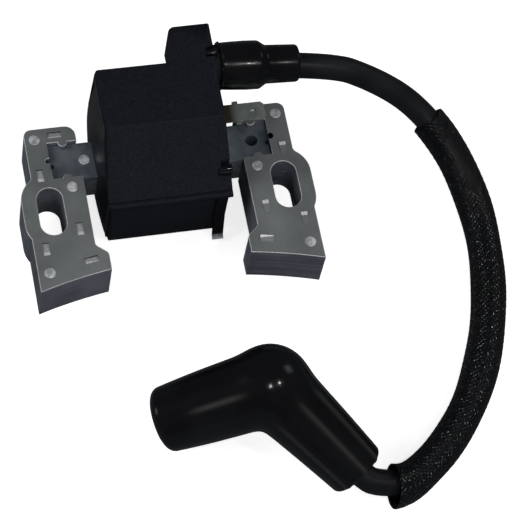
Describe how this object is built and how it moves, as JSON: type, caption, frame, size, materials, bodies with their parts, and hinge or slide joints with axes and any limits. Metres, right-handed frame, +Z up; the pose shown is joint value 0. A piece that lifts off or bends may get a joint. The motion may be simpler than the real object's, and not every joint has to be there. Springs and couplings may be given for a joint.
{
  "type": "ignition coil",
  "caption": "Small-engine ignition coil on a laminated two-leg core, with a potted case, blade terminal, sleeved plug lead and elbow boot.",
  "frame": {"origin": "under the middle of the module without its lead, at the level of the housing's underside", "axes": "+X across the two legs towards the lead, +Y from the pole faces back to the lead tower, +Z up out of the cover"},
  "size_m": [0.1559, 0.1556, 0.0445],
  "materials": {
    "cover_plastic": "moulded glass-filled black thermoplastic, satin",
    "housing_plastic": "moulded black thermoplastic, satin",
    "potting_epoxy": "cast black epoxy, glossy",
    "core_steel": "blued silicon-steel laminations",
    "leg_steel": "silicon-steel laminations, dull zinc grey",
    "rivet_steel": "bright steel",
    "bobbin_plastic": "glass-filled nylon",
    "copper_wire": "enamelled copper wire",
    "board_laminate": "glass-epoxy laminate",
    "component_plastic": "moulded electronic components",
    "tinned_brass": "tin-plated brass",
    "contact_brass": "plain brass",
    "clip_steel": "black-coated spring steel with a sheared bright end",
    "cap_rubber": "moulded black rubber, glossy",
    "lead_jacket": "extruded black rubber, satin",
    "conductor_steel": "stranded wire",
    "sleeve_braid": "braided black glass-fibre sleeve",
    "boot_rubber": "moulded black rubber, semi-gloss"
  },
  "bodies": {
    "module": {"case_cover": "cover_plastic", "coil_housing": "housing_plastic", "potting": "potting_epoxy", "core_bar": "core_steel", "left_leg": "leg_steel", "right_leg": "leg_steel", "left_leg_rivets": "rivet_steel", "right_leg_rivets": "rivet_steel", "core_rivet": "rivet_steel", "primary_bobbin": "bobbin_plastic", "secondary_bobbin": "bobbin_plastic", "primary_winding": "copper_wire", "secondary_winding": "copper_wire", "circuit_board": "board_laminate", "switching_transistor": "component_plastic", "capacitor": "component_plastic", "control_chip": "component_plastic", "resistors": "component_plastic", "blade_terminal": "tinned_brass", "hv_contact": "contact_brass", "ground_clip": "clip_steel", "tower_cap": "cap_rubber", "hv_lead": "lead_jacket", "lead_conductor": "conductor_steel", "braided_sleeve": "sleeve_braid"},
    "boot": {"plug_boot": "boot_rubber", "boot_terminal": "contact_brass"}
  },
  "joints": [
    {"name": "boot_swivel", "type": "hinge", "parent": "module", "child": "boot", "pos_m": [0.0194, -0.0805, 0.025], "axis": [0.6233, -0.6767, -0.3918], "range_deg": [-120, 0]}
  ]
}
